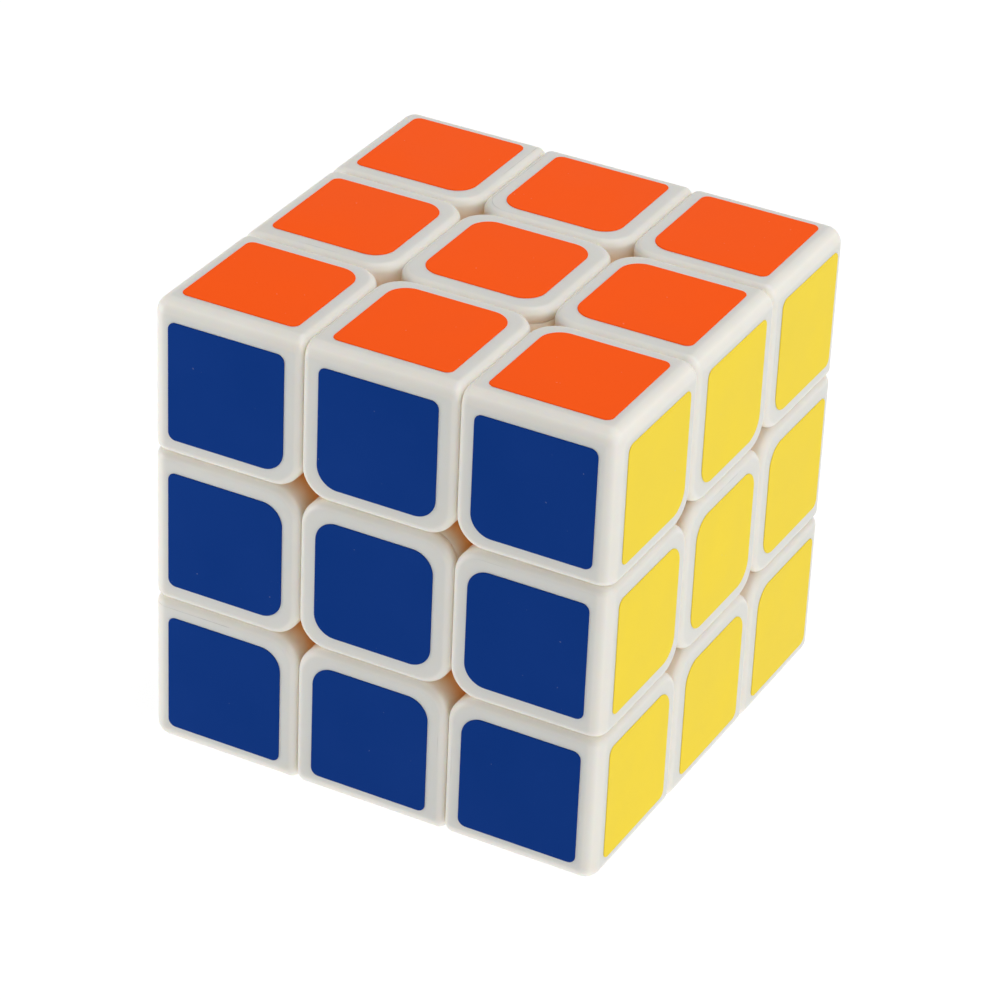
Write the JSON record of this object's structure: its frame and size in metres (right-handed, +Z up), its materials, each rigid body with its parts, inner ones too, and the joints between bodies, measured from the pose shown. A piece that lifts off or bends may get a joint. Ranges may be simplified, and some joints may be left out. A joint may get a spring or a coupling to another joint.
{
  "type": "twisty puzzle cube",
  "caption": "White plastic twisty puzzle cube of hollow hooked cubies held to a core by spring-loaded centre screws, with layers that turn.",
  "frame": {"origin": "centre of the cube's underside, so the part stands on z = 0", "axes": "+Z up out of the orange face, -Y out of the blue front face, +X out of the yellow right face"},
  "size_m": [0.057, 0.057, 0.057],
  "materials": {
    "white_plastic": "satin moulded ABS",
    "core_plastic": "moulded acetal",
    "steel": "zinc plated",
    "sticker_orange": "vinyl film",
    "sticker_blue": "vinyl film",
    "sticker_yellow": "vinyl film",
    "sticker_red": "vinyl film",
    "sticker_green": "vinyl film",
    "sticker_black": "vinyl film"
  },
  "bodies": {
    "middle_layer": {"core": "core_plastic", "top_screw": "steel", "top_washer": "steel", "top_spring": "steel", "bottom_screw": "steel", "bottom_washer": "steel", "bottom_spring": "steel", "front_screw": "steel", "front_washer": "steel", "front_spring": "steel", "back_screw": "steel", "back_washer": "steel", "back_spring": "steel", "right_screw": "steel", "right_washer": "steel", "right_spring": "steel", "left_screw": "steel", "left_washer": "steel", "left_spring": "steel", "front_right_edge": "white_plastic", "back_right_edge": "white_plastic", "back_left_edge": "white_plastic", "front_left_edge": "white_plastic"},
    "top_layer": {"top_front_edge": "white_plastic", "top_right_edge": "white_plastic", "top_back_edge": "white_plastic", "top_left_edge": "white_plastic", "top_front_right_corner": "white_plastic", "top_back_right_corner": "white_plastic", "top_back_left_corner": "white_plastic", "top_front_left_corner": "white_plastic"},
    "bottom_layer": {"bottom_front_edge": "white_plastic", "bottom_right_edge": "white_plastic", "bottom_back_edge": "white_plastic", "bottom_left_edge": "white_plastic", "bottom_front_left_corner": "white_plastic", "bottom_front_right_corner": "white_plastic", "bottom_back_right_corner": "white_plastic", "bottom_back_left_corner": "white_plastic"},
    "top_centre_body": {"top_centre": "white_plastic"},
    "top_cap_body": {"top_cap": "white_plastic"},
    "bottom_centre_body": {"bottom_centre": "white_plastic"},
    "bottom_cap_body": {"bottom_cap": "white_plastic"},
    "front_centre_body": {"front_centre": "white_plastic"},
    "front_cap_body": {"front_cap": "white_plastic"},
    "back_centre_body": {"back_centre": "white_plastic"},
    "back_cap_body": {"back_cap": "white_plastic"},
    "right_centre_body": {"right_centre": "white_plastic"},
    "right_cap_body": {"right_cap": "white_plastic"},
    "left_centre_body": {"left_centre": "white_plastic"},
    "left_cap_body": {"left_cap": "white_plastic"}
  },
  "joints": [
    {"name": "top_turn", "type": "hinge", "parent": "middle_layer", "child": "top_layer", "pos_m": [0, 0, 0.0285], "axis": [0, 0, 1], "continuous": true},
    {"name": "bottom_turn", "type": "hinge", "parent": "middle_layer", "child": "bottom_layer", "pos_m": [0, 0, 0.0285], "axis": [0, 0, -1], "continuous": true},
    {"name": "top_centre_pull", "type": "slide", "parent": "top_layer", "child": "top_centre_body", "axis": [0, 0, 1], "range_m": [0, 0.0008], "stiffness_N_per_m": 600, "springref_m": -0.0025, "deforming": ["top_spring"]},
    {"name": "top_cap_lift", "type": "slide", "parent": "top_centre_body", "child": "top_cap_body", "axis": [0, 0, 1], "range_m": [0, 0.01]},
    {"name": "bottom_centre_pull", "type": "slide", "parent": "bottom_layer", "child": "bottom_centre_body", "axis": [0, 0, -1], "range_m": [0, 0.0008], "stiffness_N_per_m": 600, "springref_m": -0.0025, "deforming": ["bottom_spring"]},
    {"name": "bottom_cap_lift", "type": "slide", "parent": "bottom_centre_body", "child": "bottom_cap_body", "axis": [0, 0, -1], "range_m": [0, 0.01]},
    {"name": "front_centre_pull", "type": "slide", "parent": "middle_layer", "child": "front_centre_body", "axis": [0, -1, 0], "range_m": [0, 0.0008], "stiffness_N_per_m": 600, "springref_m": -0.0025, "deforming": ["front_spring"]},
    {"name": "front_cap_lift", "type": "slide", "parent": "front_centre_body", "child": "front_cap_body", "axis": [0, -1, 0], "range_m": [0, 0.01]},
    {"name": "back_centre_pull", "type": "slide", "parent": "middle_layer", "child": "back_centre_body", "axis": [0, 1, 0], "range_m": [0, 0.0008], "stiffness_N_per_m": 600, "springref_m": -0.0025, "deforming": ["back_spring"]},
    {"name": "back_cap_lift", "type": "slide", "parent": "back_centre_body", "child": "back_cap_body", "axis": [0, 1, 0], "range_m": [0, 0.01]},
    {"name": "right_centre_pull", "type": "slide", "parent": "middle_layer", "child": "right_centre_body", "axis": [1, 0, 0], "range_m": [0, 0.0008], "stiffness_N_per_m": 600, "springref_m": -0.0025, "deforming": ["right_spring"]},
    {"name": "right_cap_lift", "type": "slide", "parent": "right_centre_body", "child": "right_cap_body", "axis": [1, 0, 0], "range_m": [0, 0.01]},
    {"name": "left_centre_pull", "type": "slide", "parent": "middle_layer", "child": "left_centre_body", "axis": [-1, 0, 0], "range_m": [0, 0.0008], "stiffness_N_per_m": 600, "springref_m": -0.0025, "deforming": ["left_spring"]},
    {"name": "left_cap_lift", "type": "slide", "parent": "left_centre_body", "child": "left_cap_body", "axis": [-1, 0, 0], "range_m": [0, 0.01]}
  ]
}
